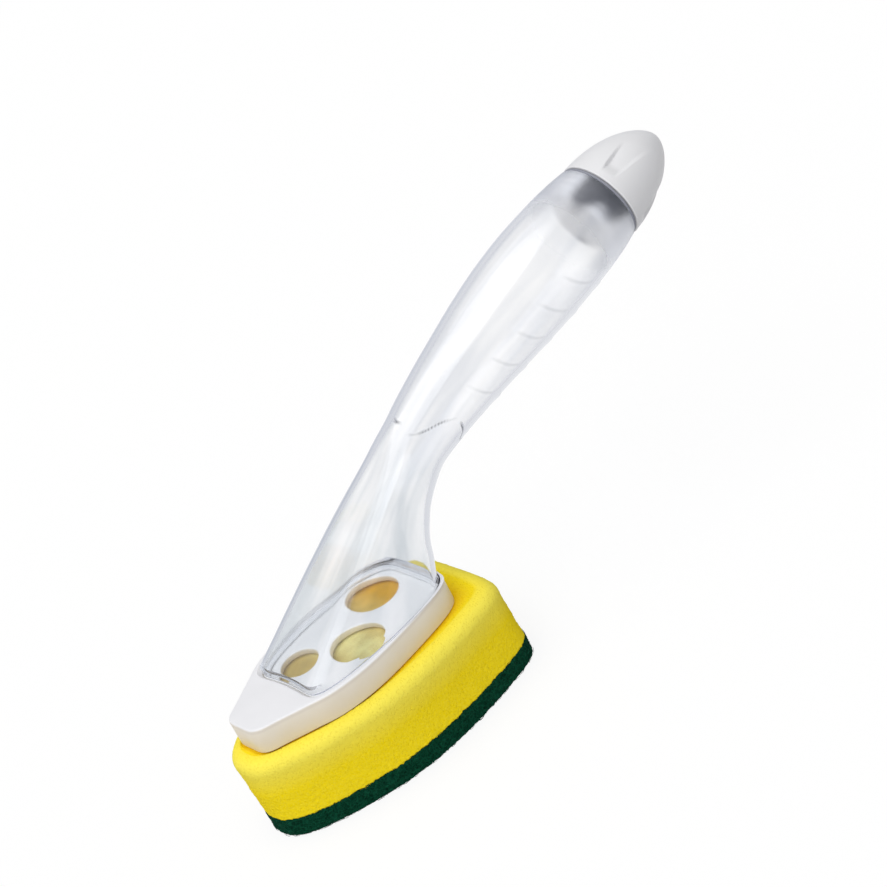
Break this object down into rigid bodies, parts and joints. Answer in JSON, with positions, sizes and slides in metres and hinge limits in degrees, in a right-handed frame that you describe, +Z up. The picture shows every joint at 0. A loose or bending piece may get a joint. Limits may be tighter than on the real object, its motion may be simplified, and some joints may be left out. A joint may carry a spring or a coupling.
{
  "type": "soap-dispensing dish brush",
  "caption": "Dish brush that holds washing-up liquid in its clear hollow handle, with a white screw cap and a clip-on sponge head with a scouring pad.",
  "frame": {"origin": "centre of the scouring pad's flat underside", "axes": "+X from the sponge's tip to the handle's end, +Z up from the pad to the handle, +Y to the left when looking along +X"},
  "size_m": [0.2371, 0.0572, 0.1135],
  "materials": {
    "clear_plastic": "clear moulded styrene or SAN, polished, faintly blue",
    "white_plastic": "white moulded polypropylene, satin",
    "grey_plastic": "grey moulded polypropylene, satin",
    "dark_rubber": "dark soft rubber, matt",
    "yellow_foam": "open-celled yellow sponge foam",
    "green_nonwoven": "dark green nonwoven scouring pad, gritty"
  },
  "bodies": {
    "handle": {"handle_grip": "clear_plastic", "handle_foot": "clear_plastic"},
    "cap_ring": {"cap_gasket": "dark_rubber"},
    "cap": {"end_cap": "white_plastic", "cap_plug": "grey_plastic"},
    "head": {"base_tray": "white_plastic", "foot_seal": "dark_rubber", "foam_sponge": "yellow_foam", "scouring_pad": "green_nonwoven"}
  },
  "joints": [
    {"name": "cap_lift", "type": "slide", "parent": "handle", "child": "cap_ring", "axis": [0.9882, 0, 0.153], "range_m": [0, 0.0101]},
    {"name": "cap_turn", "type": "hinge", "parent": "cap_ring", "child": "cap", "pos_m": [0.15525, 0, 0.09765], "axis": [0.9882, 0, 0.153], "range_deg": [0, 600]},
    {"name": "head_release", "type": "slide", "parent": "handle", "child": "head", "axis": [0, 0, -1], "range_m": [0, 0.012]}
  ],
  "couplings": [
    {"joint": "cap_lift", "follows": "cap_turn", "m_per_rad": 0.00095493}
  ]
}
